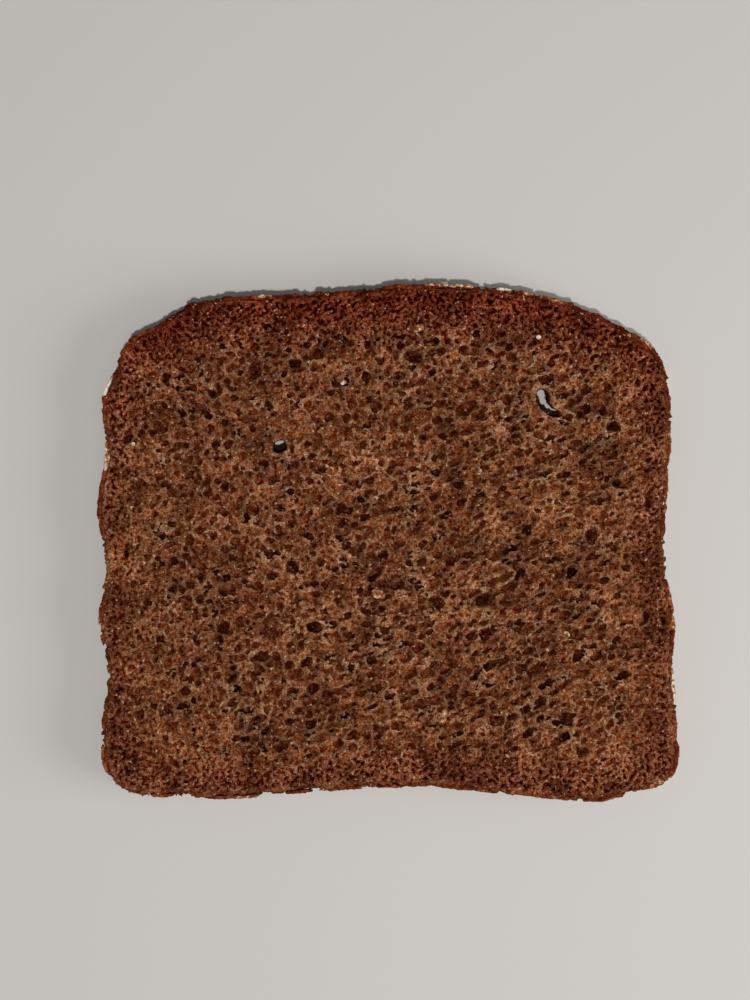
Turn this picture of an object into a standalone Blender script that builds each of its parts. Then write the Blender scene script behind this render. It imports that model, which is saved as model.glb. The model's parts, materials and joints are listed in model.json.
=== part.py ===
"""A slice of dark whole grain tin bread, lying flat on its cut face.

Metres, +Z up, +Y towards the loaf's domed top, origin in the middle of the slice's footprint on the table.
A run of loaf is raised from the outline, rolled oats are pressed into its crust, and the slice is then cut from it
with two flat strokes. Last come the air holes that the knife opened in both cut faces.
"""

import math
import random

import bmesh
import bpy
from mathutils import Euler, Matrix, Vector
from mathutils.geometry import interpolate_bezier

# The slice, and the longer run of loaf that it is cut from
THICKNESS = 0.011
KNIFE_OVERRUN = 0.004
LOAF_RUN = THICKNESS + 2 * KNIFE_OVERRUN
MILLIMETRE = 0.001
OUTLINE_STEPS = 5

# The crust's outline in millimetres from the middle, anticlockwise from the lower left corner
LOWER_LEFT_CORNER = [(-53.2, -41.0), (-51.4, -44.8), (-48.2, -46.7)]
BASE = [(-39.0, -47.2), (-30.0, -47.6), (-17.0, -46.5), (5.0, -45.4), (24.0, -46.9), (39.5, -48.2)]
LOWER_RIGHT_CORNER = [(45.8, -46.5), (51.2, -45.3), (53.5, -42.8), (53.9, -36.0)]
RIGHT_WALL = [(53.0, -24.0), (53.2, -14.0), (51.6, -4.0), (51.9, 10.0), (52.8, 22.0)]
RIGHT_SHOULDER = [(51.0, 34.0), (43.0, 40.4), (30.5, 45.4)]
CROWN = [(9.0, 48.0), (-9.0, 46.7), (-23.5, 45.8)]
LEFT_SHOULDER = [(-36.5, 44.7), (-43.3, 40.3), (-49.4, 36.6), (-51.0, 32.0)]
LEFT_WALL = [(-53.2, 27.0), (-52.6, 17.0), (-54.2, 6.0), (-52.7, -4.0), (-53.9, -15.0), (-52.3, -24.0)]
FOOT_MM = LOWER_LEFT_CORNER + BASE + LOWER_RIGHT_CORNER
OUTLINE_MM = FOOT_MM + RIGHT_WALL + RIGHT_SHOULDER + CROWN + LEFT_SHOULDER + LEFT_WALL

# Rolled oats pressed into the crust
OAT_SEED = 11
OAT_COUNT = 118
OAT_SIDES = 8
OAT_LENGTH = (0.0052, 0.0076)
OAT_WIDTH = (0.0040, 0.0054)
OAT_THICKNESS = 0.0011
OAT_TOP_SHARE = 0.78
OAT_PROUD = (0.0001, 0.0004)
OAT_TILT = math.radians(7)
OAT_SPREAD = THICKNESS / 2 + 0.0015
OAT_SEEN_DEPTH = 0.0012

# The oats that stand out round the shown face, in millimetres: where, and the length along the crust
OATS_SEEN_MM = [
    (-54.0, 28.7, 6.8),
    (-53.8, 16.4, 4.6),
    (-23.2, 47.5, 3.8),
    (2.6, 48.6, 5.2),
    (7.4, 48.9, 6.0),
    (12.8, 48.6, 5.4),
    (20.1, 47.8, 4.0),
    (25.0, 47.0, 4.4),
    (31.3, 45.8, 5.0),
    (48.8, 36.8, 5.4),
    (53.1, 9.0, 5.0),
    (53.3, -15.7, 5.0),
    (54.0, -26.0, 6.4),
    (53.6, -41.6, 6.2),
    (-53.1, -40.1, 5.6),
    (-42.6, -46.8, 4.8),
    (-32.2, -47.3, 7.0),
    (-26.3, -46.9, 5.0),
]

# The large air holes of the shown face, in millimetres and degrees: x, y, length, width, turn, depth
AIR_HOLES_MM = [
    (14.8, 25.4, 5.2, 3.2, 20, 2.4),
    (6.3, 23.9, 9.0, 3.4, 15, 1.8),
    (4.6, 35.0, 4.2, 2.7, -10, 2.4),
    (-17.6, 33.9, 2.9, 2.1, 0, 2.5),
    (-25.2, 32.4, 3.6, 3.1, 80, 2.2),
    (-32.2, 28.9, 2.8, 2.0, 90, 2.2),
    (-42.1, 31.1, 2.6, 1.7, 75, 2.0),
    (26.1, 2.4, 2.8, 2.6, 90, 2.8),
    (38.4, 1.2, 3.2, 2.7, 60, 2.8),
    (18.0, -10.8, 4.6, 2.6, 10, 3.0),
    (22.7, -11.6, 4.0, 1.3, -8, 2.0),
    (9.0, -11.0, 3.8, 2.2, 5, 2.2),
    (1.8, -8.2, 3.8, 2.1, 12, 2.4),
    (-2.5, -6.0, 4.6, 2.4, 38, 2.2),
    (-18.2, -4.6, 3.4, 2.5, -30, 2.8),
    (-20.4, -7.7, 4.1, 2.2, 8, 1.6),
    (-13.7, -9.9, 3.8, 1.6, -5, 1.9),
    (-14.1, -16.1, 3.8, 2.6, 5, 3.2),
    (-8.2, -18.6, 2.6, 1.0, 10, 1.8),
    (-31.8, -18.4, 2.4, 1.8, -50, 2.2),
    (-38.0, -10.7, 2.8, 1.5, -20, 2.0),
    (-21.8, -28.6, 5.2, 2.8, 35, 2.4),
    (-24.8, -33.5, 3.8, 2.0, 20, 2.4),
    (20.3, -33.7, 3.4, 2.2, -10, 2.4),
    (31.8, -34.1, 1.9, 1.6, 0, 2.0),
    (42.4, 21.8, 3.0, 2.4, 0, 2.8),
    (43.5, 11.0, 3.0, 2.2, -20, 2.6),
    (49.2, 7.6, 4.4, 2.0, 88, 1.8),
    (48.8, -13.9, 2.9, 1.7, 80, 2.4),
    (24.1, -4.6, 2.8, 1.6, -35, 2.2),
    (-49.5, -1.8, 4.8, 1.4, 85, 2.0),
    (-49.2, 19.7, 2.6, 2.1, 70, 2.0),
    (-47.0, -32.6, 2.6, 2.1, 60, 2.2),
]

# The holes that go right through: a bubble with a torn slit beside it, and one pinhole under a pit
BUBBLE_PLACE = (28.7, 27.6)
BUBBLE_SIZE = (1.8, 3.0)
SLIT_PLACE = (30.6, 25.4)
SLIT_SIZE = (3.6, 0.9)
SLIT_TURN = math.radians(-35)
PINHOLE_PLACE = (-20.6, 18.8)
PIT_SIZE = (2.4, 1.8, 3.2)
PINHOLE_SIZE = (1.0, 1.0)
THROUGH_SIDES = 10
THROUGH_SPREAD = 1.5

# Smaller holes strewn over both faces, by size and depth as a share of it
SMALL_HOLE_SEED = 5
SMALL_HOLES_SHOWN = 62
SMALL_HOLES_UNDERNEATH = 48
SMALL_HOLE_SIZE = (0.0014, 0.0030)
SMALL_HOLE_STRETCH = (0.65, 1.0)
SMALL_HOLE_DEPTH = 0.8
SMALL_HOLE_REACH_X = 0.047
SMALL_HOLE_REACH_Y = 0.040
SMALL_HOLE_CLEARANCE = 0.0008
REST_SPOT_RADIUS = 0.005

BREAD_BROWN = (0.122, 0.042, 0.017, 1.0)


def clear_scene():
    """An empty scene to build in."""
    for obj in list(bpy.data.objects):
        bpy.data.objects.remove(obj)


def new_collection(name):
    """A collection linked to the scene."""
    collection = bpy.data.collections.new(name)
    bpy.context.scene.collection.children.link(collection)
    return collection


def outline_curve():
    """The crust's outline as a closed smooth 2D curve, raised to the run of loaf round the slice."""
    curve = bpy.data.curves.new("loaf_outline", "CURVE")
    curve.dimensions = "2D"
    curve.fill_mode = "BOTH"
    curve.resolution_u = OUTLINE_STEPS
    curve.extrude = LOAF_RUN / 2
    spline = curve.splines.new("BEZIER")
    spline.bezier_points.add(len(OUTLINE_MM) - 1)
    for point, (x, y) in zip(spline.bezier_points, OUTLINE_MM):
        point.co = (x * MILLIMETRE, y * MILLIMETRE, 0)
        point.handle_left_type = "AUTO"
        point.handle_right_type = "AUTO"
    spline.use_cyclic_u = True
    guide = bpy.data.objects.new("loaf_outline", curve)
    guide.location.z = THICKNESS / 2
    bpy.context.scene.collection.objects.link(guide)
    bpy.context.view_layer.update()
    return guide


def mesh_from_curve(guide, name, collection):
    """The curve as one closed mesh object, its caps welded to its wall."""
    graph = bpy.context.evaluated_depsgraph_get()
    mesh = bpy.data.meshes.new_from_object(guide.evaluated_get(graph))
    obj = bpy.data.objects.new(name, mesh)
    obj.matrix_world = guide.matrix_world
    collection.objects.link(obj)
    shape = bmesh.new()
    shape.from_mesh(mesh)
    bmesh.ops.remove_doubles(shape, verts=shape.verts, dist=1e-6)
    bmesh.ops.recalc_face_normals(shape, faces=shape.faces)
    shape.to_mesh(mesh)
    shape.free()
    return obj


def wall_of(guide):
    """The crust's line as points in order, read off the smooth outline."""
    knots = guide.data.splines[0].bezier_points
    wall = []
    for knot, following in zip(knots, list(knots[1:]) + [knots[0]]):
        handles = knot.handle_right, following.handle_left
        wall += interpolate_bezier(knot.co, *handles, following.co, OUTLINE_STEPS + 1)[:-1]
    return wall


def outward_from(start, end):
    """The level direction out of the crust, on an anticlockwise wall."""
    along = (end - start).normalized()
    return Vector((along.y, -along.x, 0))


def places_along(wall):
    """A function from a share of the way round to the point there and the direction out of the crust."""
    spans = [(end - start).length for start, end in zip(wall, wall[1:] + wall[:1])]

    def place(share):
        left = (share % 1.0) * sum(spans)
        index = 0
        while left > spans[index]:
            left -= spans[index]
            index += 1
        start, end = wall[index], wall[(index + 1) % len(wall)]
        return start.lerp(end, left / spans[index]), outward_from(start, end)

    return place


def add_mesh_object(name, shape, collection, placing):
    """An object from the bmesh, put in place."""
    mesh = bpy.data.meshes.new(name)
    shape.to_mesh(mesh)
    shape.free()
    obj = bpy.data.objects.new(name, mesh)
    obj.matrix_world = placing
    collection.objects.link(obj)
    return obj


def add_oat(name, spot, outward, size, turn, tilts, collection):
    """One rolled oat pressed into the crust: an oval chip whose outer side is the narrower."""
    shape = bmesh.new()
    bmesh.ops.create_cone(
        shape,
        cap_ends=True,
        segments=OAT_SIDES,
        radius1=0.5,
        radius2=0.5 * OAT_TOP_SHARE,
        depth=OAT_THICKNESS,
    )
    facing = outward.to_track_quat("Z", "Y").to_matrix().to_4x4()
    lying = Euler((*tilts, turn)).to_matrix().to_4x4()
    placing = Matrix.Translation(spot) @ facing @ lying @ Matrix.Diagonal((*size, 1, 1))
    return add_mesh_object(name, shape, collection, placing)


def scatter_oats(wall, collection):
    """Oats all round the crust, evenly spaced along it and at any height and turn."""
    draw = random.Random(OAT_SEED)
    place = places_along(wall)
    for index in range(OAT_COUNT):
        spot, outward = place((index + draw.uniform(-0.4, 0.4)) / OAT_COUNT)
        spot += outward * draw.uniform(*OAT_PROUD)
        spot.z = THICKNESS / 2 + draw.uniform(-OAT_SPREAD, OAT_SPREAD)
        size = draw.uniform(*OAT_LENGTH), draw.uniform(*OAT_WIDTH)
        tilts = draw.uniform(-OAT_TILT, OAT_TILT), draw.uniform(-OAT_TILT, OAT_TILT)
        add_oat(f"oat_{index:03d}", spot, outward, size, draw.uniform(0, math.pi), tilts, collection)


def lay_seen_oats(wall, collection):
    """The oats that stand out, lying lengthwise along the crust where the knife cut through them."""
    for index, (x, y, length) in enumerate(OATS_SEEN_MM):
        target = Vector((x, y, 0)) * MILLIMETRE
        nearest = min(range(len(wall)), key=lambda i: (wall[i] - target).length)
        outward = outward_from(wall[nearest - 1], wall[(nearest + 1) % len(wall)])
        spot = wall[nearest] + outward * OAT_PROUD[1]
        spot.z = THICKNESS - OAT_SEEN_DEPTH
        size = length * MILLIMETRE, OAT_WIDTH[0]
        add_oat(f"oat_seen_{index:02d}", spot, outward, size, 0, (0, 0), collection)


def add_box(name, low, high, collection):
    """A box between two corners."""
    shape = bmesh.new()
    size = Vector(high) - Vector(low)
    bmesh.ops.create_cube(shape, size=1)
    placing = Matrix.Translation((Vector(low) + Vector(high)) / 2) @ Matrix.Diagonal((*size, 1))
    return add_mesh_object(name, shape, collection, placing)


def add_pit(name, centre, size, turn, detail, collection):
    """An egg-shaped air hole, sized by its three full widths."""
    shape = bmesh.new()
    bmesh.ops.create_icosphere(shape, subdivisions=detail, radius=0.5)
    placing = Matrix.Translation(centre) @ Matrix.Rotation(turn, 4, "Z") @ Matrix.Diagonal((*size, 1))
    return add_mesh_object(name, shape, collection, placing)


def add_shaft(name, place_mm, size_mm, turn, collection):
    """An oval hole through the slice that widens towards the shown face."""
    shape = bmesh.new()
    bmesh.ops.create_cone(
        shape,
        cap_ends=True,
        segments=THROUGH_SIDES,
        radius1=0.5,
        radius2=0.5 * THROUGH_SPREAD,
        depth=THICKNESS + KNIFE_OVERRUN,
    )
    across = Matrix.Diagonal((size_mm[0] * MILLIMETRE, size_mm[1] * MILLIMETRE, 1, 1))
    centre = (place_mm[0] * MILLIMETRE, place_mm[1] * MILLIMETRE, THICKNESS / 2)
    placing = Matrix.Translation(centre) @ Matrix.Rotation(turn, 4, "Z") @ across
    return add_mesh_object(name, shape, collection, placing)


def add_air_holes(collection):
    """Every large hole of the shown face, with the ones that go right through."""
    for i, (x, y, length, width, turn, depth) in enumerate(AIR_HOLES_MM):
        centre = (x * MILLIMETRE, y * MILLIMETRE, THICKNESS)
        size = (length * MILLIMETRE, width * MILLIMETRE, 2 * depth * MILLIMETRE)
        add_pit(f"air_hole_{i:02d}", centre, size, math.radians(turn), 2, collection)
    add_shaft("bubble", BUBBLE_PLACE, BUBBLE_SIZE, 0, collection)
    add_shaft("slit", SLIT_PLACE, SLIT_SIZE, SLIT_TURN, collection)
    add_shaft("pinhole", PINHOLE_PLACE, PINHOLE_SIZE, 0, collection)
    pit = (PINHOLE_PLACE[0] * MILLIMETRE, PINHOLE_PLACE[1] * MILLIMETRE, THICKNESS)
    add_pit("pit", pit, [width * MILLIMETRE for width in PIT_SIZE], 0, 2, collection)


def strew_small_holes(collection):
    """Smaller holes at random, none touching another of its face, and none under the middle of the slice."""
    draw = random.Random(SMALL_HOLE_SEED)
    shown = [(Vector((x, y)) * MILLIMETRE, length * MILLIMETRE / 2) for x, y, length, *_ in AIR_HOLES_MM]
    shown += [(Vector(p) * MILLIMETRE, max(BUBBLE_SIZE) * MILLIMETRE) for p in (BUBBLE_PLACE, SLIT_PLACE, PINHOLE_PLACE)]
    underneath = shown[-3:] + [(Vector((0, 0)), REST_SPOT_RADIUS)]
    faces = (("shown", shown, SMALL_HOLES_SHOWN, THICKNESS), ("under", underneath, SMALL_HOLES_UNDERNEATH, 0.0))
    for face, taken, count, level in faces:
        made = 0
        while made < count:
            spot = Vector((draw.uniform(-1, 1) * SMALL_HOLE_REACH_X, draw.uniform(-1, 1) * SMALL_HOLE_REACH_Y))
            size = draw.uniform(*SMALL_HOLE_SIZE)
            stretch = draw.uniform(*SMALL_HOLE_STRETCH)
            turn = draw.uniform(0, math.pi)
            if any((spot - other).length < reach + size / 2 + SMALL_HOLE_CLEARANCE for other, reach in taken):
                continue
            widths = (size, size * stretch, 2 * size * SMALL_HOLE_DEPTH)
            centre = (spot.x, spot.y, level)
            add_pit(f"small_hole_{face}_{made:02d}", centre, widths, turn, 1, collection)
            taken.append((spot, size / 2))
            made += 1


def combine(obj, operation, collection=None, other=None):
    """Joins, cuts or trims the object for good, then removes what did it."""
    modifier = obj.modifiers.new(operation.lower(), "BOOLEAN")
    modifier.operation = operation
    if collection:
        modifier.operand_type = "COLLECTION"
        modifier.collection = collection
    else:
        modifier.object = other
    bpy.context.view_layer.objects.active = obj
    bpy.ops.object.modifier_apply(modifier=modifier.name)
    for helper in list(collection.objects) if collection else [other]:
        bpy.data.objects.remove(helper)


def connected_faces(shape):
    """The faces of the bmesh in groups that hang together."""
    groups = []
    waiting = set(shape.faces)
    while waiting:
        group = [waiting.pop()]
        for face in group:
            around = {other for edge in face.edges for other in edge.link_faces} & waiting
            waiting -= around
            group += around
        groups.append(group)
    return groups


def keep_outer_skin(obj):
    """Fills the hollows shut in under the oats and drops loose scraps: only the largest skin stays."""
    shape = bmesh.new()
    shape.from_mesh(obj.data)
    groups = sorted(connected_faces(shape), key=len)
    bmesh.ops.delete(shape, geom=[face for group in groups[:-1] for face in group], context="FACES")
    shape.to_mesh(obj.data)
    shape.free()


def bread_material():
    """Dark, rough, matt crumb."""
    material = bpy.data.materials.new("bread")
    material.use_nodes = True
    shader = material.node_tree.nodes["Principled BSDF"]
    shader.inputs["Base Color"].default_value = BREAD_BROWN
    shader.inputs["Roughness"].default_value = 0.9
    return material


def main():
    clear_scene()
    bread = new_collection("whole_grain_bread")
    cutters = new_collection("cutters")
    guide = outline_curve()
    loaf = mesh_from_curve(guide, "bread_slice", bread)
    wall = wall_of(guide)
    bpy.data.objects.remove(guide)

    oats = new_collection("oats")
    scatter_oats(wall, oats)
    lay_seen_oats(wall, oats)
    combine(loaf, "UNION", collection=oats)

    span = 2 * max(abs(x) for x, _ in OUTLINE_MM) * MILLIMETRE
    stroke = add_box("knife_strokes", (-span, -span, 0), (span, span, THICKNESS), cutters)
    combine(loaf, "INTERSECT", other=stroke)

    add_air_holes(cutters)
    strew_small_holes(cutters)
    combine(loaf, "DIFFERENCE", collection=cutters)
    keep_outer_skin(loaf)
    loaf.data.materials.clear()
    loaf.data.materials.append(bread_material())
    loaf.data.shade_flat()


main()
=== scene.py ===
import json
import math
import random

import bpy
import numpy as np
import openvdb
from mathutils import Euler, Matrix, Vector
from mathutils.geometry import interpolate_bezier

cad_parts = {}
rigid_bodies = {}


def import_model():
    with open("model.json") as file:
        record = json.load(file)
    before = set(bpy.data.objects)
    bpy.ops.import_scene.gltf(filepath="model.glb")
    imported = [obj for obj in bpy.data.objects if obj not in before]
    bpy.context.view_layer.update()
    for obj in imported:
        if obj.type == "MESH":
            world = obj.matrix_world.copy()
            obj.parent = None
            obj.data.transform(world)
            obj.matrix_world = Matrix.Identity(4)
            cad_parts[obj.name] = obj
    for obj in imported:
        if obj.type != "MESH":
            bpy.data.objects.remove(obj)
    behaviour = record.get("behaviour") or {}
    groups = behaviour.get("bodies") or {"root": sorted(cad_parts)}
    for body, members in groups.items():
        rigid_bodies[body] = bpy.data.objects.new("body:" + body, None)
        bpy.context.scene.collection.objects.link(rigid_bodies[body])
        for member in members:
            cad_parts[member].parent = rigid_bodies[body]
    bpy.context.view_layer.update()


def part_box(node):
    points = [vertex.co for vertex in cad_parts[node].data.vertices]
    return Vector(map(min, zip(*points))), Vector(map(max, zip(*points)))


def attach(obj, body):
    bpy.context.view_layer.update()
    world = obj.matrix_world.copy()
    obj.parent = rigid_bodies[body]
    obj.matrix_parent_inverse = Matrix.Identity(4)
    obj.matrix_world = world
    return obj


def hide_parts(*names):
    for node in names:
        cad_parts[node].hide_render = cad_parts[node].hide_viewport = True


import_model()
low_corner, high_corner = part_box("bread_slice")
MM = 0.001
THICKNESS_MM = round(high_corner.z / MM, 3)


# The loaf's outline. The dough filled a straight-sided tin and rose over its rim in a low dome, and every
# slice of it has this shape. The points are millimetres from the slice's middle, anticlockwise from the
# lower left corner.
LOWER_LEFT_CORNER = [(-53.2, -41.0), (-51.4, -44.8), (-48.2, -46.7)]
BASE = [(-39.0, -47.2), (-30.0, -47.6), (-17.0, -46.5), (5.0, -45.4), (24.0, -46.9), (39.5, -48.2)]
LOWER_RIGHT_CORNER = [(45.8, -46.5), (51.2, -45.3), (53.5, -42.8), (53.9, -36.0)]
RIGHT_WALL = [(53.0, -24.0), (53.2, -14.0), (51.6, -4.0), (51.9, 10.0), (52.8, 22.0)]
RIGHT_SHOULDER = [(51.0, 34.0), (43.0, 40.4), (30.5, 45.4)]
CROWN = [(9.0, 48.0), (-9.0, 46.7), (-23.5, 45.8)]
LEFT_SHOULDER = [(-36.5, 44.7), (-43.3, 40.3), (-49.4, 36.6), (-51.0, 32.0)]
LEFT_WALL = [(-53.2, 27.0), (-52.6, 17.0), (-54.2, 6.0), (-52.7, -4.0), (-53.9, -15.0), (-52.3, -24.0)]
FOOT_MM = LOWER_LEFT_CORNER + BASE + LOWER_RIGHT_CORNER
OUTLINE_MM = FOOT_MM + RIGHT_WALL + RIGHT_SHOULDER + CROWN + LEFT_SHOULDER + LEFT_WALL


def smooth_wall(points, steps=6):
    """The smooth closed line through the points, read off a curve object that is then removed."""
    bpy.ops.object.select_all(action="DESELECT")
    bpy.ops.curve.primitive_bezier_circle_add()
    tin = bpy.context.object
    tin.data.dimensions = "2D"
    tin.data.splines.clear()
    spline = tin.data.splines.new("BEZIER")
    spline.bezier_points.add(len(points) - 1)
    for knot, (x, y) in zip(spline.bezier_points, points):
        knot.co = (x, y, 0)
        knot.handle_left_type = knot.handle_right_type = "AUTO"
    spline.use_cyclic_u = True
    bpy.context.view_layer.update()
    knots = list(spline.bezier_points)
    wall = []
    for knot, after in zip(knots, knots[1:] + knots[:1]):
        wall += interpolate_bezier(knot.co, knot.handle_right, after.handle_left, after.co, steps)[:-1]
    wall = [point.copy() for point in wall]
    bpy.data.objects.remove(tin)
    return wall


wall_mm = smooth_wall(OUTLINE_MM)


# The crumb, open on both cut faces. It is a foam of dough: gas cells of one to two millimetres with grainy
# walls, stretched where the dough was rolled, and far finer and denser in the band that set first against
# the hot tin. Its shape is worked out on a fine grid, as depth in millimetres inside the dough's surface.
PITCH = 0.2
REACH_X, REACH_Y = 57.0, 51.0
AIR_ABOVE = 0.6
DEPTH_MODELLED = 4.2


def grid_line(low, high, pitch=PITCH):
    """Evenly spaced places from low to high, in millimetres."""
    return np.arange(low, high + pitch / 2, pitch, dtype=np.float32)


def depth_inside(x, y, wall):
    """How deep each place lies inside the crust's line, in millimetres. It is negative outside."""
    nearest = np.full(x.shape, 1e9, np.float32)
    inside = np.zeros(x.shape, bool)
    for start, end in zip(wall, wall[1:] + wall[:1]):
        along_x, along_y = end.x - start.x, end.y - start.y
        share = ((x - start.x) * along_x + (y - start.y) * along_y) / (along_x**2 + along_y**2)
        share = np.clip(share, 0, 1)
        off_x, off_y = x - start.x - share * along_x, y - start.y - share * along_y
        nearest = np.minimum(nearest, off_x**2 + off_y**2)
        if end.y != start.y:
            crossing = (y - start.y) / along_y
            inside ^= ((start.y > y) != (end.y > y)) & (x < start.x + crossing * along_x)
    return np.where(inside, 1, -1) * np.sqrt(nearest)


def smoothed(field, axis, half_width):
    """The field averaged over a run of cells along one axis."""
    padding = [(0, 0)] * field.ndim
    padding[axis] = (half_width + 1, half_width)
    total = np.cumsum(np.pad(field, padding, mode="edge"), axis=axis, dtype=np.float64)
    count = 2 * half_width + 1
    length = field.shape[axis]
    upper = np.take(total, np.arange(count, count + length), axis=axis)
    lower = np.take(total, np.arange(0, length), axis=axis)
    return ((upper - lower) / count).astype(np.float32)


def grain(draw, shape, size_mm, pitch=PITCH):
    """Smooth random lumps of about the given size, with an even spread about nought."""
    half_width = max(1, round(size_mm / pitch / 3))
    field = draw.standard_normal(shape, dtype=np.float32)
    for _ in range(1 if size_mm < 3 * pitch else 2):
        for axis in range(len(shape)):
            field = smoothed(field, axis, half_width)
    return field / field.std()


def look_up(field, *places):
    """The field's value at each place, given in cells from the field's corner, by linear mixing."""
    result = 0
    whole = [np.clip(np.floor(p).astype(int), 0, n - 2) for p, n in zip(places, field.shape)]
    part = [np.clip(p - w, 0, 1) for p, w in zip(places, whole)]
    for corner in range(2 ** len(places)):
        bits = [(corner >> axis) & 1 for axis in range(len(places))]
        share = 1
        for bit, fraction in zip(bits, part):
            share = share * (fraction if bit else 1 - fraction)
        result = result + share * field[tuple(w + bit for w, bit in zip(whole, bits))]
    return result


places_x, places_y = grid_line(-REACH_X, REACH_X), grid_line(-REACH_Y, REACH_Y)
inside_mm = depth_inside(*np.meshgrid(places_x, places_y, indexing="ij"), wall_mm).astype(np.float32)

# The named holes of the shown face: x, y, length, width, turn in degrees, depth.
AIR_HOLES_MM = [
    (14.8, 25.4, 5.2, 3.2, 20, 2.4),
    (6.3, 23.9, 9.0, 3.4, 15, 1.8),
    (4.6, 35.0, 4.2, 2.7, -10, 2.4),
    (-17.6, 33.9, 2.9, 2.1, 0, 2.5),
    (-25.2, 32.4, 3.6, 3.1, 80, 2.2),
    (-32.2, 28.9, 2.8, 2.0, 90, 2.2),
    (-42.1, 31.1, 2.6, 1.7, 75, 2.0),
    (26.1, 2.4, 2.8, 2.6, 90, 2.8),
    (38.4, 1.2, 3.2, 2.7, 60, 2.8),
    (18.0, -10.8, 4.6, 2.6, 10, 3.0),
    (22.7, -11.6, 4.0, 1.3, -8, 2.0),
    (9.0, -11.0, 3.8, 2.2, 5, 2.2),
    (1.8, -8.2, 3.8, 2.1, 12, 2.4),
    (-2.5, -6.0, 4.6, 2.4, 38, 2.2),
    (-18.2, -4.6, 3.4, 2.5, -30, 2.8),
    (-20.4, -7.7, 4.1, 2.2, 8, 1.6),
    (-13.7, -9.9, 3.8, 1.6, -5, 1.9),
    (-14.1, -16.1, 3.8, 2.6, 5, 3.2),
    (-8.2, -18.6, 2.6, 1.0, 10, 1.8),
    (-31.8, -18.4, 2.4, 1.8, -50, 2.2),
    (-38.0, -10.7, 2.8, 1.5, -20, 2.0),
    (-21.8, -28.6, 5.2, 2.8, 35, 2.4),
    (-24.8, -33.5, 3.8, 2.0, 20, 2.4),
    (20.3, -33.7, 3.4, 2.2, -10, 2.4),
    (31.8, -34.1, 1.9, 1.6, 0, 2.0),
    (42.4, 21.8, 3.0, 2.4, 0, 2.8),
    (43.5, 11.0, 3.0, 2.2, -20, 2.6),
    (49.2, 7.6, 4.4, 2.0, 88, 1.8),
    (48.8, -13.9, 2.9, 1.7, 80, 2.4),
    (24.1, -4.6, 2.8, 1.6, -35, 2.2),
    (-49.5, -1.8, 4.8, 1.4, 85, 2.0),
    (-49.2, 19.7, 2.6, 2.1, 70, 2.0),
    (-47.0, -32.6, 2.6, 2.1, 60, 2.2),
]
HOLE_DEEPER = 1.1
SIDE_LOBES = 3


def open_hole(field, places_u, x, y, u, half_length, half_width, half_depth, turn):
    """Lowers the field to the distance from an egg-shaped hole, within a little of it."""
    margin = 0.9
    reach = max(half_length, half_width) + margin
    i0, i1 = np.searchsorted(places_x, (x - reach, x + reach))
    j0, j1 = np.searchsorted(places_y, (y - reach, y + reach))
    k0, k1 = np.searchsorted(places_u, (u - half_depth - margin, u + half_depth + margin))
    if i0 >= i1 or j0 >= j1 or k0 >= k1:
        return
    off_x, off_y = places_x[i0:i1, None] - x, places_y[None, j0:j1] - y
    along = (off_x * math.cos(turn) + off_y * math.sin(turn)) / half_length
    across = (off_y * math.cos(turn) - off_x * math.sin(turn)) / half_width
    down = (places_u[k0:k1] - u) / half_depth
    distance = np.sqrt((along**2 + across**2)[:, :, None] + down[None, None, :] ** 2) - 1
    distance *= (half_length * half_width * half_depth) ** (1 / 3)
    part = field[i0:i1, j0:j1, k0:k1]
    np.minimum(part, distance, out=part)


def open_named_holes(cells, places_u, holes, draw):
    """The large holes, each with a few smaller ones in its wall, so that its rim is uneven."""
    for x, y, length, width, turn, depth in holes:
        open_hole(cells, places_u, x, y, 0, length / 2, width / 2, depth * HOLE_DEEPER, math.radians(turn))
        for _ in range(SIDE_LOBES):
            side_x, side_y = x + draw.gauss(0, length / 5), y + draw.gauss(0, width / 3)
            share = draw.uniform(0.3, 0.55)
            turned = math.radians(turn + draw.uniform(-40, 40))
            lobe = length / 2 * share, width / 2 * share, depth * share
            open_hole(cells, places_u, side_x, side_y, 0.2, *lobe, turned)


# The holes that go right through: a bubble with a torn slit, and a pinhole. x, y, length, width, turn.
THROUGH_HOLES_MM = [
    (29.1, 27.95, 2.3, 2.0, 90),
    (29.3, 26.7, 1.8, 1.1, -80),
    (30.3, 25.7, 2.3, 1.15, -45),
    (31.4, 24.9, 2.2, 0.7, -10),
    (-20.8, 18.5, 1.9, 1.4, 15),
    (-20.2, 18.8, 1.4, 1.0, -40),
]
# They spread a little from the slice's middle as they go down, and widen upwards, most towards its foot.
HOLES_MIDDLE = (-2.5, 8.0)
SPREAD_ABOVE = -0.003
SPREAD_BELOW = 0.0135
WIDER_BELOW = 0.1
WIDER_ABOVE = 0.4
LEAN = (0.15, -0.5)
DEPTH_THROUGH = 12
DEPTH_WIDENED = 7
CLEAR_OF_HOLES = 1.4
SMALL_BESIDE_HOLES = 0.5


def open_through_holes(cells, places_u, shown):
    """The holes that go right through, with their wider mouths where this is the shown face."""
    for x, y, length, width, turn in THROUGH_HOLES_MM:
        turn = math.radians(turn)
        spread = SPREAD_ABOVE if shown else SPREAD_BELOW
        x, y = x + spread * (x - HOLES_MIDDLE[0]), y + spread * (y - HOLES_MIDDLE[1])
        narrow = length / 2 + WIDER_BELOW, width / 2 + WIDER_BELOW
        open_hole(cells, places_u, x, y, 2, *narrow, DEPTH_THROUGH, turn)
        if shown:
            wide = length / 2 + WIDER_ABOVE, width / 2 + WIDER_ABOVE
            open_hole(cells, places_u, x + LEAN[0], y + LEAN[1], 0, *wide, DEPTH_WIDENED, turn)


# The gas cells: their middle radius, and how many places are tried for each, the largest first.
CELL_RADII = [(1.35, 160), (1.1, 1500), (0.85, 8000), (0.62, 18000), (0.45, 40000), (0.3, 70000)]
CELLS_REACH_X, CELLS_REACH_Y = 54, 49
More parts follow.
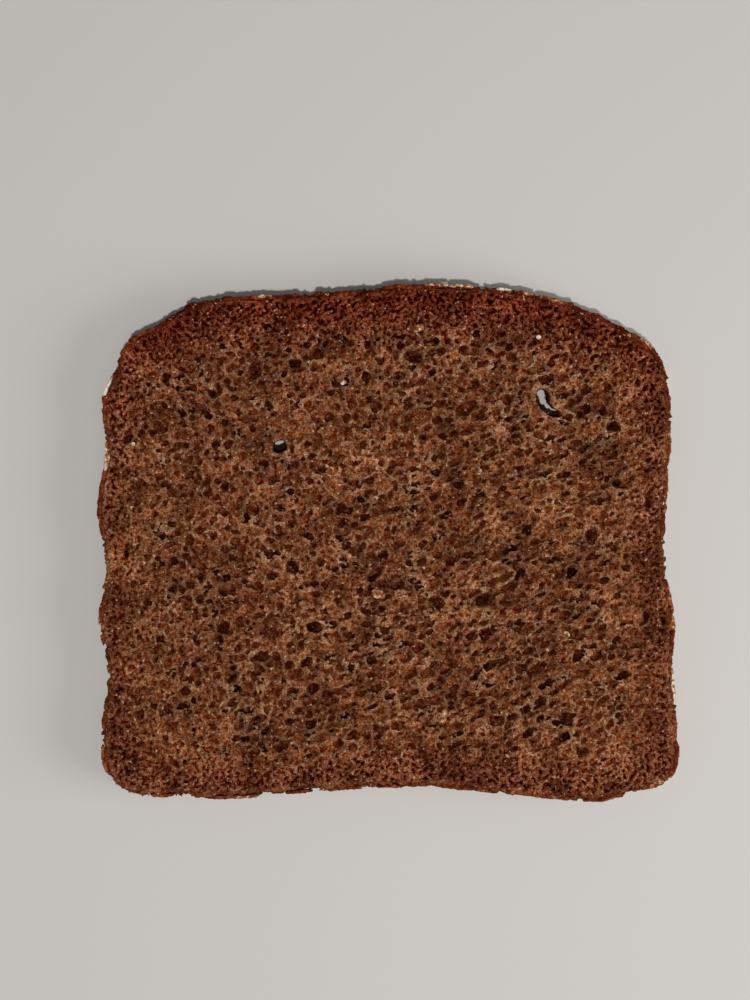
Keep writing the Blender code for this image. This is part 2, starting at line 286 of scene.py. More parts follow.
# How deep a cell's middle may lie, in its own sizes, and how its size and shape vary.
CELL_LEVELS = (-0.5, 1.7)
CELL_SIZES = (0.75, 1.25)
CELL_SHAPES = (0.8, 1.2)
# A cell's share of its size at the crust, and what it gains over the dense band.
SHARE_AT_CRUST, SHARE_GAINED = 0.42, 0.58
CELL_WALL = 0.1
SMALLEST_CELL = 0.2
CRUST_SKIN = 0.05
DENSE_BAND = 8.0
FLOW_TURN = math.radians(27)
FLOW_SWAY = math.radians(8)
FLOW_STRETCH = 0.45


def flow_at(x, y):
    """How the cells are turned and stretched: up the slope of the rolled dough, most at the right."""
    strength = min(1.0, max(0.0, (x - y * 0.6 + 25) / 45))
    return FLOW_TURN * strength + FLOW_SWAY * math.sin(x / 9 + y / 13), 1.0 + FLOW_STRETCH * strength


def near_through_hole(x, y):
    """Whether a place is close beside one of the holes that go right through."""
    for hole_x, hole_y, length, _, _ in THROUGH_HOLES_MM:
        if math.hypot(x - hole_x, y - hole_y) < length / 2 + CLEAR_OF_HOLES:
            return True
    return False


def open_gas_cells(cells, places_u, draw):
    """The gas cells that the knife opened, and those under them that show through their floors."""
    for radius, tries in CELL_RADII:
        for _ in range(tries):
            x, y = draw.uniform(-CELLS_REACH_X, CELLS_REACH_X), draw.uniform(-CELLS_REACH_Y, CELLS_REACH_Y)
            level = draw.uniform(*CELL_LEVELS)
            size, shape = radius * draw.uniform(*CELL_SIZES), draw.uniform(*CELL_SHAPES)
            column = int((x + REACH_X) / PITCH), int((y + REACH_Y) / PITCH)
            deep = inside_mm[column]
            if deep < CRUST_SKIN:
                continue
            size *= SHARE_AT_CRUST + SHARE_GAINED * min(1.0, max(0.0, (deep - 2.0) / DENSE_BAND)) ** 1.3
            if size < SMALLEST_CELL:
                continue
            u = level * size
            here = cells[(*column, int((u + AIR_ABOVE) / PITCH))]
            opens_at_cut = level < 0.45 and here > size + CELL_WALL
            opens_below = level > 0.7 and 0.5 * size < here < 0.9 * size
            if near_through_hole(x, y):
                opens_at_cut, opens_below = opens_at_cut and size < SMALL_BESIDE_HOLES, False
            if opens_at_cut or opens_below:
                turn, stretch = flow_at(x, y)
                half_length, half_width = size * stretch, size / math.sqrt(stretch) * shape
                open_hole(cells, places_u, x, y, u, half_length, half_width, size, turn)


ROUNDING = 0.16
CUT_DEPTH = 0.55
# The grain of the cells' walls and of the cut: how strong, and how large in millimetres.
WALL_GRAIN = [(0.15, 1.0), (0.13, 0.4)]
CUT_GRAIN = [(0.16, 3.0), (0.17, 1.2)]
FINEST_GRAIN = 0.5


def risen_dough(seed, holes, shown):
    """The crumb under one cut face, as depth inside the dough, and how deep each layer of places is."""
    places_u = grid_line(-AIR_ABOVE, DEPTH_MODELLED + AIR_ABOVE)
    cells = np.full((len(places_x), len(places_y), len(places_u)), 9.0, np.float32)
    draw = random.Random(seed)
    open_named_holes(cells, places_u, holes, draw)
    open_through_holes(cells, places_u, shown)
    open_gas_cells(cells, places_u, draw)
    texture = np.random.default_rng(seed)
    cells += sum(strong * grain(texture, cells.shape, size) for strong, size in WALL_GRAIN)
    torn = sum((strong * grain(texture, inside_mm.shape, size) for strong, size in CUT_GRAIN), CUT_DEPTH)
    at_rim = np.clip(1 - inside_mm / DENSE_BAND, 0, 1)
    torn += (0.2 + 0.12 * at_rim) * grain(texture, inside_mm.shape, FINEST_GRAIN)
    below_cut = places_u[None, None, :] - np.clip(torn, 0, None)[:, :, None]
    share = np.clip(0.5 + 0.5 * (below_cut - cells) / ROUNDING, 0, 1)
    dough = below_cut + share * (cells - below_cut) - ROUNDING * share * (1 - share)
    dough = np.minimum(dough, (inside_mm - CRUST_SKIN)[:, :, None])
    return np.minimum(dough, (DEPTH_MODELLED - places_u)[None, None, :]), places_u


def mesh_of(name, points, corners):
    """A mesh object from rows of points and rows of the corners of each face."""
    mesh = bpy.data.meshes.new(name)
    mesh.vertices.add(len(points))
    mesh.vertices.foreach_set("co", points.astype(np.float32).ravel())
    sides = [len(rows[0]) for rows in corners for _ in rows]
    mesh.loops.add(sum(sides))
    in_turn = np.concatenate([rows.ravel() for rows in corners])
    mesh.loops.foreach_set("vertex_index", in_turn.astype(np.int32))
    mesh.polygons.add(len(sides))
    mesh.polygons.foreach_set("loop_start", np.concatenate([[0], np.cumsum(sides)[:-1]]).astype(np.int32))
    mesh.update(calc_edges=True)
    piece = bpy.data.objects.new(name, mesh)
    bpy.context.scene.collection.objects.link(piece)
    return piece


def vertex_places(mesh):
    """Every vertex's place as rows of x, y, z."""
    flat = np.empty(3 * len(mesh.vertices), np.float32)
    mesh.vertices.foreach_get("co", flat)
    return flat.reshape(-1, 3)


def finish_modifiers(piece):
    """Makes the piece's modifiers part of its mesh."""
    graph = bpy.context.evaluated_depsgraph_get()
    before = piece.data
    piece.data = bpy.data.meshes.new_from_object(piece.evaluated_get(graph))
    piece.modifiers.clear()
    bpy.data.meshes.remove(before)


# How readily small faces that lie nearly flat are merged in a skin, from 0 to 1.
FACES_MERGED = 0.6


def skin_of(name, dough, corner, most_triangles, pitch=PITCH):
    """The dough's surface as a mesh in millimetres, thinned to so many triangles, with no loose scraps."""
    volume = openvdb.FloatGrid(1.0)
    volume.copyFromArray(np.ascontiguousarray(-dough))
    points, triangles, quads = volume.convertToPolygons(0.0, FACES_MERGED)
    places = points * pitch + np.array(corner, np.float32)
    piece = mesh_of(name, places, [triangles[:, ::-1], quads[:, ::-1]])
    thin = piece.modifiers.new("thin", "DECIMATE")
    thin.ratio = min(1.0, most_triangles / (len(triangles) + 2 * len(quads)))
    finish_modifiers(piece)
    mesh = piece.data
    mesh.name = name
    for part in (mesh.vertices, mesh.edges, mesh.polygons):
        part.foreach_set("select", np.zeros(len(part), bool))
    mesh.vertices[int(np.argmin(vertex_places(mesh)[:, 0]))].select = True
    bpy.ops.object.select_all(action="DESELECT")
    bpy.context.view_layer.objects.active = piece
    piece.select_set(True)
    bpy.ops.object.mode_set(mode="EDIT")
    bpy.ops.mesh.select_mode(type="VERT")
    bpy.ops.mesh.select_linked()
    bpy.ops.mesh.select_all(action="INVERT")
    bpy.ops.mesh.delete(type="VERT")
    bpy.ops.object.mode_set(mode="OBJECT")
    return piece


def note_on(mesh, name, values):
    """Keeps one number for every vertex, for the material to read."""
    mesh.attributes.new(name, "FLOAT", "POINT").data.foreach_set("value", values.astype(np.float32))


def shut_in(dough, pitch=PITCH):
    """How much of the near surroundings is dough: half on a flat face, more in a pit, less on a rim."""
    near = np.clip(0.5 + dough / pitch, 0, 1)
    for axis in range(3):
        near = smoothed(near, axis, 1)
    far = near
    for half_width in (2, 3):
        for axis in range(3):
            far = smoothed(far, axis, half_width)
    return 0.45 * near + 0.55 * far


def browned(deep, y):
    """How far the oven browned the dough: deep under the crown, some at the foot, little at the sides."""
    bare, foot = np.clip((y - 15) / 28, 0, 1), np.clip((-y - 30) / 12, 0, 1)
    near_reach, far_reach = 5.5 + 8.5 * bare + 4.5 * foot, 30
    near_crust = np.clip(1 - deep / near_reach, 0, 1) * (0.42 + 0.52 * bare + 0.08 * foot)
    further_in = (0.24 * bare + 0.08 * foot) * np.clip(1 - deep / far_reach, 0, 1)
    return np.clip(near_crust + further_in, 0, 1)


def note_looks(mesh, dough):
    """Notes on the mesh, still in millimetres below the cut, its pits and rims and how near the crust is."""
    places = vertex_places(mesh)
    column = (places[:, 0] + REACH_X) / PITCH, (places[:, 1] + REACH_Y) / PITCH
    # The pit number is used for painted shade in the pits and painted light on the rims.
    note_on(mesh, "pit", look_up(shut_in(dough), *column, (places[:, 2] + AIR_ABOVE) / PITCH))
    note_on(mesh, "browned", browned(look_up(inside_mm, *column), places[:, 1]))
    note_on(mesh, "below_cut", places[:, 2])


def lay_face(mesh, face_up):
    """Turns depths below the cut into heights in metres, with the piece's back at the slice's middle."""
    places = vertex_places(mesh)
    at_back = places[:, 2] > DEPTH_MODELLED - 0.15
    depth = np.where(at_back, THICKNESS_MM / 2, np.clip(places[:, 2], 0, None))
    places[:, 2] = THICKNESS_MM - depth if face_up else depth
    mesh.vertices.foreach_set("co", (places * MM).ravel())
    if face_up:
        mesh.flip_normals()
    mesh.update()


# Each half of the crumb is the dense rim, 8.5 mm wide, and the open crumb inside it, in two parts.
RIM_WIDTH = 8.5
PIECES_OVERLAP = 0.3
SPLIT_ACROSS, SPLIT_UP = 0.45, -0.9
TRIANGLES_ABOVE = 195000
TRIANGLES_BELOW = 130000


def crumb_pieces(side, seed, holes, face_up, most_triangles):
    """Half of the crumb, from a cut face to the slice's middle."""
    dough, places_u = risen_dough(seed, holes, face_up)
    from_rim = (inside_mm - RIM_WIDTH)[:, :, None]
    from_split = (places_x[:, None] * SPLIT_ACROSS + places_y[None, :] * SPLIT_UP)[:, :, None]
    parts = {
        "rim": PIECES_OVERLAP - from_rim,
        "near": np.minimum(from_rim, from_split),
        "far": np.minimum(from_rim, PIECES_OVERLAP - from_split),
    }
    made = []
    for name, part in parts.items():
        corner = (places_x[0], places_y[0], places_u[0])
        piece = skin_of(f"crumb_{side}_{name}", np.minimum(dough, part), corner, most_triangles)
        note_looks(piece.data, dough)
        lay_face(piece.data, face_up)
        made.append(piece)
    return made


def srgb(red, green, blue):
    """A colour seen in a picture, as the shader wants it."""
    shares = (red / 255, green / 255, blue / 255)
    linear = [((v + 0.055) / 1.055) ** 2.4 if v > 10 / 255 else v / 12.92 for v in shares]
    return (*linear, 1)


BLACK, WHITE = (0, 0, 0, 1), (1, 1, 1, 1)


def new_material(name, roughness):
    """A material with its node tree, and its shader."""
    material = bpy.data.materials.new(name)
    material.use_nodes = True
    shader = material.node_tree.nodes["Principled BSDF"]
    shader.inputs["Roughness"].default_value = roughness
    return material, material.node_tree, shader


def noise_node(tree, where, scale, detail, rough):
    """Cloudy noise on the given coordinates."""
    node = tree.nodes.new("ShaderNodeTexNoise")
    node.inputs["Scale"].default_value = scale
    node.inputs["Detail"].default_value = detail
    node.inputs["Roughness"].default_value = rough
    tree.links.new(where, node.inputs["Vector"])
    return node.outputs["Fac"]


def ramp_node(tree, factor, stops):
    """Colours by a number."""
    node = tree.nodes.new("ShaderNodeValToRGB")
    elements = node.color_ramp.elements
    while len(elements) < len(stops):
        elements.new(0.5)
    for element, (place, colour) in zip(elements, stops):
        element.position = place
        element.color = colour
    tree.links.new(factor, node.inputs["Fac"])
    return node.outputs["Color"]


def read_number(tree, name, low, high):
    """A number kept on the mesh, brought from low..high to 0..1."""
    source = tree.nodes.new("ShaderNodeAttribute")
    source.attribute_name = name
    spread = tree.nodes.new("ShaderNodeMapRange")
    spread.inputs["From Min"].default_value = low
    spread.inputs["From Max"].default_value = high
    tree.links.new(source.outputs["Fac"], spread.inputs["Value"])
    return spread.outputs["Result"]


def mix_node(tree, blend, factor, base, top):
    """One colour blended over another. The factor is a number or a link."""
    node = tree.nodes.new("ShaderNodeMix")
    node.data_type = "RGBA"
    node.blend_type = blend
    if isinstance(factor, float):
        node.inputs["Factor"].default_value = factor
    else:
        tree.links.new(factor, node.inputs["Factor"])
    for colour, socket in ((base, node.inputs["A"]), (top, node.inputs["B"])):
        if isinstance(colour, tuple):
            socket.default_value = colour
        else:
            tree.links.new(colour, socket)
    return node.outputs["Result"]


def number_node(tree, operation, first, second):
    """One number made of two, each a link or a plain number."""
    node = tree.nodes.new("ShaderNodeMath")
    node.operation = operation
    for value, socket in ((first, node.inputs[0]), (second, node.inputs[1])):
        if isinstance(value, (int, float)):
            socket.default_value = value
        else:
            tree.links.new(value, socket)
    return node.outputs["Value"]


def swing_node(tree, value, middle, strength):
    """How far a number is from its middle, times a strength."""
    return number_node(tree, "MULTIPLY", number_node(tree, "SUBTRACT", value, middle), strength)


def add_bump(tree, shader, height, distance, strength):
    """Fine relief from a number, on top of the modelled shape."""
    node = tree.nodes.new("ShaderNodeBump")
    node.inputs["Distance"].default_value = distance
    node.inputs["Strength"].default_value = strength
    tree.links.new(height, node.inputs["Height"])
    tree.links.new(node.outputs["Normal"], shader.inputs["Normal"])


# Clouds in the dough's colour: the noise's scale, and how dark it gets. The darks are a little redder.
DOUGH_CLOUDS = [(110, 0.53), (420, 0.47), (3300, 0.28)]
RED_TO_OLIVE = [(0.36, srgb(255, 231, 214)), (0.5, srgb(252, 233, 214)), (0.64, srgb(249, 235, 214))]
# Painted shade for the parts that lie deep below the cut.
PAINTED_DEPTH_SHADE = srgb(150, 108, 92)
# Light specks on the rims, partly flour and partly painted glints.
FLOUR_AND_PAINTED_GLINT = srgb(226, 186, 150)


def baked_dough(name, colours_with_pit_shade, browned_colour):
    """Baked dough: grainy, with painted light and painted glints on the rims, painted shade, darker and
    redder, down in the pits, cloudy patches, and browner near the crust.
    """
    material, tree, shader = new_material(name, 0.8)
    shader.inputs["Specular IOR Level"].default_value = 0.03
    where = tree.nodes.new("ShaderNodeTexCoord").outputs["Object"]
    # The pit number sets painted shade: darker and redder down in the pits, lighter on the rims, most
    # strongly near the crust.
    pit = read_number(tree, "pit", 0.25, 0.85)
    oven = read_number(tree, "browned", 0.0, 1.0)
    fine = noise_node(tree, where, 2200, 3, 0.75)
    speckled = number_node(tree, "ADD", number_node(tree, "MULTIPLY", oven, 2.2), 1.05)
    pitted = number_node(tree, "ADD", number_node(tree, "MULTIPLY", oven, 1.3), 1.0)
    depth = number_node(tree, "ADD", swing_node(tree, pit, 0.4, pitted), 0.42)
    depth = number_node(tree, "ADD", depth, swing_node(tree, fine, 0.5, speckled))
    base = ramp_node(tree, depth, colours_with_pit_shade)
    for scale, dark in DOUGH_CLOUDS:
        stops = [(0.36, (dark, dark * 0.83, dark * 0.77, 1)), (0.64, WHITE)]
        cloud = ramp_node(tree, noise_node(tree, where, scale, 2, 0.6), stops)
        base = mix_node(tree, "MULTIPLY", 1.0, base, cloud)
    tint = ramp_node(tree, noise_node(tree, where, 190, 3, 0.6), RED_TO_OLIVE)
    base = mix_node(tree, "MULTIPLY", 1.0, base, tint)
    base = mix_node(tree, "MULTIPLY", oven, base, browned_colour)
    # Painted shade: darker the further below the cut, from 1 to 3.2 mm.
    base = mix_node(tree, "MULTIPLY", read_number(tree, "below_cut", 1.0, 3.2), base, PAINTED_DEPTH_SHADE)
    # Light specks on the rims only: partly flour, partly painted glints.
    specks = ramp_node(tree, noise_node(tree, where, 1700, 1, 0.5), [(0.66, BLACK), (0.74, WHITE)])
    on_rims = ramp_node(tree, pit, [(0.35, WHITE), (0.6, BLACK)])
    base = mix_node(tree, "MIX", mix_node(tree, "MULTIPLY", 1.0, specks, on_rims), base, FLOUR_AND_PAINTED_GLINT)
    tree.links.new(base, shader.inputs["Base Color"])
    add_bump(tree, shader, fine, 0.0005, 0.8)
    return material


# The crumb's colours with painted light and shade: light on the rims of the cells, dark with painted shade
# at the bottoms of the pits; and the oven's brown.
CRUMB_COLOURS_AND_PIT_SHADE = [
    (0.0, srgb(255, 222, 192)),
    (0.3, srgb(241, 189, 147)),
    (0.5, srgb(211, 136, 84)),
    (0.75, srgb(150, 56, 12)),
    (1.0, srgb(100, 8, 0)),
]
CRUMB_BROWNED = srgb(213, 152, 138)
crumb_finish = baked_dough("crumb", CRUMB_COLOURS_AND_PIT_SHADE, CRUMB_BROWNED)
crumb = crumb_pieces("upper", 21, AIR_HOLES_MM, True, TRIANGLES_ABOVE)
crumb += crumb_pieces("lower", 22, [], False, TRIANGLES_BELOW)
for piece in crumb:
    piece.data.materials.append(crumb_finish)
    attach(piece, "root")
    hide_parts("bread_slice")


# The crust: the thin skin that browned against the tin and, over the top, in the oven's heat. It is close
# and tough, wrinkled outside, with hardly a hole where the knife went through it.
CRUST_PITCH = 0.25
CRUST_PROUD = 0.32
CRUST_THICKNESS = 0.55
CRUST_TRIANGLES = 190000
# Its wrinkles: how strong, and how large in millimetres, and how far in and out they may go.
WRINKLES = [(0.25, 2.0), (0.4, 0.9)]
WRINKLES_IN, WRINKLES_OUT = -0.7, 0.65
# What the crust and the oats keep within: the slice's own corners, a hair inside them.
LOWEST_MM = np.array([low_corner.x / MM + 0.02, low_corner.y / MM + 0.02, 0.0])
HIGHEST_MM = np.array([high_corner.x / MM - 0.02, high_corner.y / MM - 0.02, THICKNESS_MM])
# The crust's colours with painted shade: lighter where it stands out, darker and redder in its hollows.
CRUST_COLOURS_AND_PIT_SHADE = [
    (0.0, srgb(246, 186, 138)),
    (0.4, srgb(222, 136, 80)),
    (0.6, srgb(196, 98, 46)),
    (1.0, srgb(110, 24, 2)),
]
CRUST_BROWNED = srgb(180, 116, 98)


def crust_ring(seed):
    """The skin all round, as one closed ring through the slice's whole thickness."""
    pitch = CRUST_PITCH
    levels = grid_line(-0.5, THICKNESS_MM + 0.5, pitch)
    round_x, round_y = grid_line(-REACH_X, REACH_X, pitch), grid_line(-REACH_Y, REACH_Y, pitch)
    inside = depth_inside(*np.meshgrid(round_x, round_y, indexing="ij"), wall_mm).astype(np.float32)
    draw = np.random.default_rng(seed)
    shape = (len(round_x), len(round_y), len(levels))
    wrinkles = sum(strong * grain(draw, shape, size, pitch) for strong, size in WRINKLES)
    outer = inside[:, :, None] + CRUST_PROUD + np.clip(wrinkles, WRINKLES_IN, WRINKLES_OUT)
    inner = CRUST_THICKNESS + 0.25 * grain(draw, inside.shape, 1.6, pitch)[:, :, None] - inside[:, :, None]
    torn = 0.2 + 0.35 * np.abs(grain(draw, inside.shape, 0.9, pitch) + grain(draw, inside.shape, 0.5, pitch))
    above = levels[None, None, :] - torn[:, :, None]
    below = THICKNESS_MM - torn[:, :, None] - levels[None, None, :]
    ring = np.minimum(np.minimum(outer, inner), np.minimum(above, below))
    piece = skin_of("crust", ring, (round_x[0], round_y[0], levels[0]), CRUST_TRIANGLES, pitch)
    mesh = piece.data
    places = vertex_places(mesh)
    column = (places[:, 0] + REACH_X) / pitch, (places[:, 1] + REACH_Y) / pitch
    # The pit number is used for painted shade in the crust's hollows and painted light where it stands out.
    note_on(mesh, "pit", look_up(shut_in(ring, pitch), *column, (places[:, 2] - levels[0]) / pitch))
    note_on(mesh, "browned", browned(look_up(inside, *column), places[:, 1]))
    note_on(mesh, "below_cut", np.zeros(len(places)))
    kept = np.clip(places, LOWEST_MM, HIGHEST_MM) * MM
    mesh.vertices.foreach_set("co", kept.astype(np.float32).ravel())
    mesh.update()
    return piece


crust = crust_ring(31)
crust.data.materials.append(baked_dough("crust", CRUST_COLOURS_AND_PIT_SHADE, CRUST_BROWNED))
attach(crust, "root")
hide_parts("bread_slice")


# The rolled oats that the loaf was tossed in before it was baked: oval flakes pressed from whole groats,
# each with a crease down its middle and a ragged rim. They are stuck flat in the crust, and cut off where
# the knife met them.
OAT_SEED = 11
OAT_COUNT = 118
OAT_LENGTH = (5.2, 7.6)
OAT_WIDTH = (4.0, 5.4)
OAT_THICKNESS = 0.85
OAT_SUNK = -0.1
OAT_PROUD = (0.2, 0.6)
OAT_TILT = math.radians(7)
OAT_SPREAD = THICKNESS_MM / 2 + 1.5
OAT_CUT = (0.22, 0.5)
OAT_FACETS = 0.25
OAT_ROUGHNESS = 0.55
# How pale the palest may be: the ones near the shown face are browner there, as the photographed edge is.
PALEST_BY_FACE, PALEST_BELOW = 0.7, 1.4
BY_FACE = 2
# The oats that stand out round the shown face: x, y, length along the crust, and how pale it is.
OATS_SEEN_MM = [
    (-54.0, 28.7, 6.2, 1.8),
    (-53.8, 16.4, 4.0, 1.3),
    (-23.2, 47.5, 3.4, 1.4),
    (2.6, 48.6, 5.2, 0.4),
    (8.0, 48.9, 4.6, 1.1),
    (13.6, 48.6, 5.0, 1.2),
    (20.1, 47.8, 3.0, 1.6),
    (25.0, 47.0, 4.0, 0.9),
    (31.3, 45.8, 4.6, 0.9),
    (48.8, 36.8, 5.4, 1.2),
    (53.1, 9.0, 5.0, 0.5),
    (53.3, -15.7, 5.0, 1.0),
    (54.0, -26.0, 6.4, 1.5),
    (53.6, -41.6, 6.2, 0.3),
    (-53.1, -40.1, 5.6, 0.5),
    (-42.6, -46.8, 4.8, 0.8),
    (-32.2, -47.3, 7.0, 0.3),
    (-26.3, -46.9, 5.0, 0.8),
    (-15.6, -46.4, 5.4, 0.2),
    (-7.5, -46.0, 6.4, 0.35),
    (0.5, -45.6, 5.2, 0.25),
    (42.6, -47.6, 5.0, 0.3),
]
OAT_SEEN_DEPTH = 1.2
OAT_SEEN_PROUD = 0.75
OAT_SEEN_THICKNESS = 0.6

wall_x, wall_y = np.array([point.x for point in wall_mm]), np.array([point.y for point in wall_mm])
step_x, step_y = np.roll(wall_x, -1) - np.roll(wall_x, 1), np.roll(wall_y, -1) - np.roll(wall_y, 1)
spans = np.hypot(np.roll(wall_x, -1) - wall_x, np.roll(wall_y, -1) - wall_y)
round_wall = np.cumsum(spans) - spans
girth = spans.sum()


def on_crust(along, height, outward):
    """Places along the crust's line, at a height and a little outward from it, as rows of x, y, z."""
    along = along % girth
    facing_x, facing_y = (np.interp(along, round_wall, side, period=girth) for side in (step_y, -step_x))
    length = np.hypot(facing_x, facing_y)
    x = np.interp(along, round_wall, wall_x, period=girth) + outward * facing_x / length
    y = np.interp(along, round_wall, wall_y, period=girth) + outward * facing_y / length
    return np.column_stack([x, y, height])


def rolled_oat(draw, along, height, proud, length, width, turn, tilts, thickness=OAT_THICKNESS):
    """One oat: a flattened ball, creased along its middle and ragged at its rim, laid on the crust."""
    bpy.ops.mesh.primitive_uv_sphere_add(segments=26, ring_count=11, radius=0.5)
    oat = bpy.context.object
    mesh = oat.data
    phases = [draw.uniform(0, 2 * math.pi) for _ in range(3)]
    curl = draw.uniform(-0.2, 0.15)
    places = vertex_places(mesh).astype(float)
    angle = np.arctan2(places[:, 1], places[:, 0])
    radius = np.hypot(places[:, 0], places[:, 1]) * 2
    ragged = 1 + 0.07 * np.sin(3 * angle + phases[0]) + 0.06 * np.sin(7 * angle + phases[1])
    ragged += 0.05 * np.sin(13 * angle + phases[2]) * radius
    flat = np.sign(places[:, 2]) * 0.5 * np.clip(1 - radius**8, 0, 1) ** 0.5
    crease = 0.4 * np.exp(-((places[:, 1] / 0.07) ** 2)) * (places[:, 2] > 0)
    dented = 1 - 0.25 * np.sin(9 * places[:, 0] + phases[1]) * np.sin(8 * places[:, 1] + phases[0])
    places[:, 2] = flat * (1 - crease) * dented * thickness + OAT_SUNK + curl * radius**3
    places[:, 0] *= length * ragged
    places[:, 1] *= width * ragged
    places = places @ np.array(Euler((*tilts, turn)).to_matrix()).T
    laid = on_crust(along + places[:, 0], height + places[:, 1], proud + places[:, 2])
    mesh.vertices.foreach_set("co", laid.astype(np.float32).ravel())
    mesh.update()
    return oat


def cut_flush(piece, low, high):
    """Cuts off what lies below low or above high, and closes both cuts."""
    bpy.ops.object.select_all(action="DESELECT")
    bpy.context.view_layer.objects.active = piece
    piece.select_set(True)
    bpy.ops.object.mode_set(mode="EDIT")
    for level, direction in ((low, -1), (high, 1)):
        bpy.ops.mesh.select_all(action="SELECT")
        place, facing = (0, 0, level), (0, 0, direction)
        bpy.ops.mesh.bisect(plane_co=place, plane_no=facing, use_fill=True, clear_outer=True)
    bpy.ops.object.mode_set(mode="OBJECT")


def roughened(piece, texture):
    """Remakes the piece's skin in small facets, and roughens it as broken bran and flour do."""
    skin = piece.modifiers.new("skin", "REMESH")
    skin.mode = "VOXEL"
    skin.voxel_size = OAT_FACETS
    rough = piece.modifiers.new("rough", "DISPLACE")
    rough.texture = texture
    rough.strength = OAT_ROUGHNESS
    finish_modifiers(piece)


def joined(pieces, name):
    """The pieces as one object, brought from millimetres to metres."""
    bpy.ops.object.select_all(action="DESELECT")
    for piece in pieces:
        piece.select_set(True)
    bpy.context.view_layer.objects.active = pieces[0]
    bpy.ops.object.join()
    whole = bpy.context.object
    whole.name = whole.data.name = name
    whole.data.transform(Matrix.Scale(MM, 4))
    bpy.ops.object.shade_smooth_by_angle(angle=math.radians(50))
    return whole


oats = []
draw = random.Random(OAT_SEED)
shades = random.Random(OAT_SEED + 1)
for index in range(OAT_COUNT):
    along = girth * (index + draw.uniform(-0.4, 0.4)) / OAT_COUNT
    proud = draw.uniform(*OAT_PROUD)
    height = THICKNESS_MM / 2 + draw.uniform(-OAT_SPREAD, OAT_SPREAD)
    length, width = draw.uniform(*OAT_LENGTH), draw.uniform(*OAT_WIDTH)
    tilts = draw.uniform(-OAT_TILT, OAT_TILT), draw.uniform(-OAT_TILT, OAT_TILT)
    turn = draw.uniform(0, math.pi)
    palest = PALEST_BY_FACE if height > THICKNESS_MM - BY_FACE else PALEST_BELOW
    oat = rolled_oat(shades, along, height, proud, length, width, turn, tilts)
    oats.append((oat, shades.random() ** 1.5 * palest))
for x, y, length, paleness in OATS_SEEN_MM:
    along = round_wall[np.argmin(np.hypot(wall_x - x, wall_y - y))]
    height = THICKNESS_MM - OAT_SEEN_DEPTH
    size = length, OAT_WIDTH[0]
    seen = rolled_oat(shades, along, height, OAT_SEEN_PROUD, *size, 0, (0, 0), OAT_SEEN_THICKNESS)
    oats.append((seen, paleness))
broken_bran = bpy.data.textures.new("broken_bran", "CLOUDS")
broken_bran.noise_scale = 0.5
broken_bran.noise_depth = 2
for oat, paleness in oats:
    cut_flush(oat, shades.uniform(*OAT_CUT), THICKNESS_MM - shades.uniform(*OAT_CUT))
    roughened(oat, broken_bran)
    places = np.clip(vertex_places(oat.data), LOWEST_MM, HIGHEST_MM)
    oat.data.vertices.foreach_set("co", places.astype(np.float32).ravel())
    note_on(oat.data, "paleness", np.full(len(oat.data.vertices), paleness))

# Toasted oat, from brown where the oven caught it to cream.
OAT_COLOURS = [
    (0.0, srgb(88, 28, 8)),
    (0.25, srgb(124, 54, 22)),
    (0.55, srgb(156, 88, 48)),
    (0.78, srgb(212, 164, 120)),
    (0.92, srgb(252, 240, 222)),
]
oat_finish, tree, shader = new_material("oat_flake", 0.8)
shader.inputs["Specular IOR Level"].default_value = 0.1
mottle = noise_node(tree, tree.nodes.new("ShaderNodeTexCoord").outputs["Object"], 1100, 4, 0.7)
toasted = number_node(tree, "ADD", read_number(tree, "paleness", 0.0, 2.0), 0.08)
toasted = number_node(tree, "ADD", toasted, swing_node(tree, mottle, 0.52, 2.6))
tree.links.new(ramp_node(tree, toasted, OAT_COLOURS), shader.inputs["Base Color"])
add_bump(tree, shader, mottle, 0.0003, 0.5)

half = len(oats) // 2
right, left = [oat for oat, _ in oats[:half]], [oat for oat, _ in oats[half:]]
for piece in (joined(right, "oat_flakes_right"), joined(left, "oat_flakes_left")):
    piece.data.materials.append(oat_finish)
    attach(piece, "root")
    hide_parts("bread_slice")


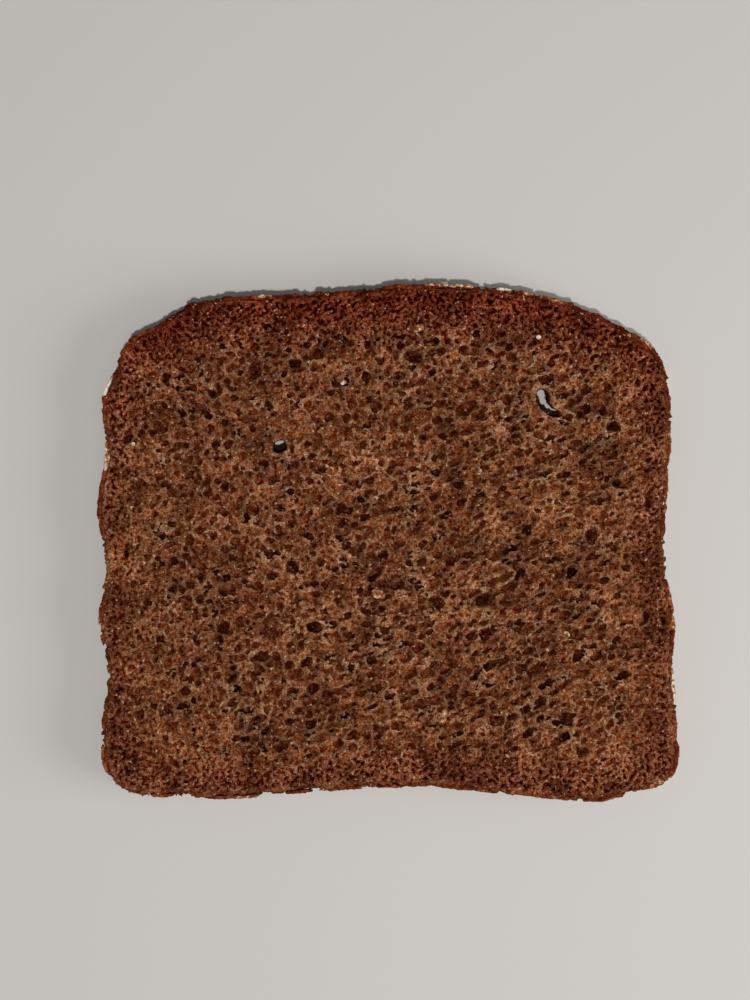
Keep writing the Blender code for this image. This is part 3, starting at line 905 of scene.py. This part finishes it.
# The bits of grain in the crumb: a few broken kernels and bran flakes that the dough held and the knife laid
# bare. They have the oats' finish. x, y, length, width, turn in degrees, and how pale each one is.
GRAIN_BITS_MM = [
    (-1.9, -9.8, 2.5, 1.6, -25, 1.3),
    (10.5, -32.7, 2.6, 1.3, 75, 1.1),
    (5.6, 40.5, 2.8, 1.4, 5, 1.0),
    (28.4, 38.8, 0.9, 0.8, 0, 1.8),
    (-48.2, 18.6, 0.8, 0.7, 0, 1.7),
    (-37.5, -21.0, 1.3, 0.7, 30, 1.2),
    (33.8, -17.3, 1.4, 0.8, -40, 1.2),
    (-8.4, 30.2, 1.2, 0.7, 20, 1.3),
    (17.3, 13.4, 1.1, 0.8, 60, 1.2),
]
grain_draw = random.Random(41)
bits = []
for x, y, length, width, turn, paleness in GRAIN_BITS_MM:
    bpy.ops.mesh.primitive_ico_sphere_add(subdivisions=4, radius=0.5)
    bit = bpy.context.object
    places = vertex_places(bit.data).astype(float)
    swing = [grain_draw.uniform(3, 6) for _ in range(3)]
    places *= 1 + 0.14 * np.sin(places @ np.array(swing) * 2 + swing[0])[:, None]
    places[:, 0] += 0.25 * np.sign(places[:, 1]) * places[:, 1] ** 2
    bit.data.vertices.foreach_set("co", places.astype(np.float32).ravel())
    bit.data.transform(Matrix.Diagonal((length, width, width * 0.8, 1)))
    bit.data.transform(Euler((0.2, 0.1, math.radians(turn))).to_matrix().to_4x4())
    bit.data.transform(Matrix.Translation((x, y, THICKNESS_MM - 0.1 - width * 0.45)))
    note_on(bit.data, "paleness", np.full(len(bit.data.vertices), paleness))
    bits.append(bit)
grain_bits = joined(bits, "grain_bits")
grain_bits.data.materials.append(oat_finish)
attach(grain_bits, "root")
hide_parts("bread_slice")


# The table: a plain pale top, which isn't part of the bread.
bpy.ops.object.select_all(action="DESELECT")
bpy.ops.mesh.primitive_plane_add(size=3.0, location=(0, 0, 0))
table = bpy.context.object
table.name = "table"
table_finish, tree, shader = new_material("table_top", 0.6)
shader.inputs["Base Color"].default_value = srgb(222, 219, 215)
table.data.materials.append(table_finish)


# The light and the camera. A small lamp above gives the narrow dark edge beyond the crown, a wide soft light
# fills it, and a window at the right lights the cells from the side. The camera looks straight down.
def area_light(name, place, size, power, colour):
    """A soft square light that faces the slice."""
    bpy.ops.object.light_add(type="AREA", location=place)
    light = bpy.context.object
    light.name = name
    light.data.size = size
    light.data.energy = power
    light.data.color = colour
    light.rotation_euler = (-Vector(place)).to_track_quat("-Z", "Y").to_euler()


area_light("lamp", (0.0, -0.15, 1.1), 0.03, 5.2, (1.0, 0.985, 0.97))
area_light("ceiling", (0.1, -0.1, 1.3), 0.6, 0.6, (1.0, 0.99, 0.97))
area_light("window", (0.45, -0.12, 0.34), 0.35, 1.12, (1.0, 0.995, 0.98))
room = bpy.data.worlds.new("room")
room.use_nodes = True
room.node_tree.nodes["Background"].inputs["Color"].default_value = WHITE
room.node_tree.nodes["Background"].inputs["Strength"].default_value = 0.12
bpy.context.scene.world = room
bpy.context.scene.view_settings.view_transform = "Standard"

LENS = 85.0
SENSOR = 36.0
VIEW_HEIGHT = 0.1887
camera_height = high_corner.z + VIEW_HEIGHT / SENSOR * LENS
bpy.ops.object.camera_add(location=(-0.0025, 0.008, camera_height))
camera = bpy.context.object
camera.data.lens = LENS
camera.data.sensor_width = SENSOR
camera.data.clip_start = 0.01
bpy.context.scene.camera = camera
